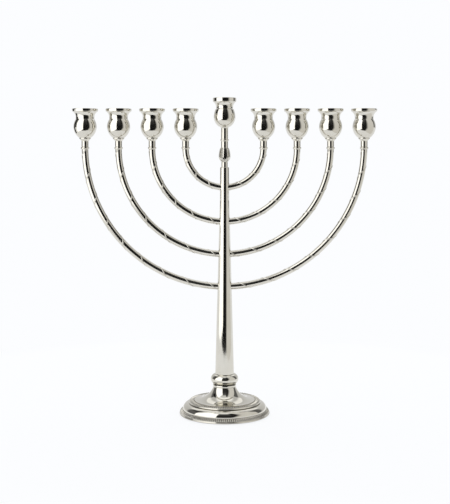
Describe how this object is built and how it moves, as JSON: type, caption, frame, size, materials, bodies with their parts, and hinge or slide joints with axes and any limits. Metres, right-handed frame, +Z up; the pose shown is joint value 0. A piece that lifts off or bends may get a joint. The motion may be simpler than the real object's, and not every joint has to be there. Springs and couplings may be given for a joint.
{
  "type": "menorah",
  "caption": "Silver-plated Hanukkah menorah: a row of tulip candle cups on concentric curved arms, a raised centre cup, a tapered column and a round stepped base.",
  "frame": {"origin": "on the table, at the centre of the round base, under the column's axis", "axes": "+Z up along the column, +X along the row of cups towards the right-hand cups, +Y away from the viewer"},
  "size_m": [0.2942, 0.0872, 0.305],
  "materials": {
    "polished_silver": "mirror-polished silver plate on brass",
    "arm_silver": "polished silver plate on brass tube with a fine spiral line",
    "ornament_silver": "silver plate, darkened in the recesses of the ornament",
    "plated_screw": "satin plated slotted screw",
    "brass": "turned brass",
    "steel": "zinc-plated steel",
    "cast_iron": "rough cast iron",
    "felt": "dense green wool felt"
  },
  "bodies": {
    "root": {"arm_1": "arm_silver", "arm_2": "arm_silver", "arm_3": "arm_silver", "arm_4": "arm_silver", "base_bolt": "steel", "base_foot": "polished_silver", "base_plate": "steel", "base_weight": "cast_iron", "bead_left_1": "polished_silver", "bead_left_2": "polished_silver", "bead_left_3": "polished_silver", "bead_left_4": "polished_silver", "bead_right_1": "polished_silver", "bead_right_2": "polished_silver", "bead_right_3": "polished_silver", "bead_right_4": "polished_silver", "bolt_washer": "steel", "centre_bead": "polished_silver", "centre_cup": "polished_silver", "centre_cup_screw": "plated_screw", "centre_stem": "polished_silver", "centre_stud": "brass", "column": "polished_silver", "column_cap": "polished_silver", "column_plug": "brass", "cup_left_1": "polished_silver", "cup_left_2": "polished_silver", "cup_left_3": "polished_silver", "cup_left_4": "polished_silver", "cup_right_1": "polished_silver", "cup_right_2": "polished_silver", "cup_right_3": "polished_silver", "cup_right_4": "polished_silver", "cup_screw_left_1": "plated_screw", "cup_screw_left_2": "plated_screw", "cup_screw_left_3": "plated_screw", "cup_screw_left_4": "plated_screw", "cup_screw_right_1": "plated_screw", "cup_screw_right_2": "plated_screw", "cup_screw_right_3": "plated_screw", "cup_screw_right_4": "plated_screw", "felt_pad": "felt", "ferrule_left_1": "polished_silver", "ferrule_left_2": "polished_silver", "ferrule_left_3": "polished_silver", "ferrule_left_4": "polished_silver", "ferrule_right_1": "polished_silver", "ferrule_right_2": "polished_silver", "ferrule_right_3": "polished_silver", "ferrule_right_4": "polished_silver", "foot_ring": "polished_silver", "knop": "ornament_silver", "lower_ornament_wire": "ornament_silver", "upper_ornament_wire": "ornament_silver"}
  },
  "joints": []
}
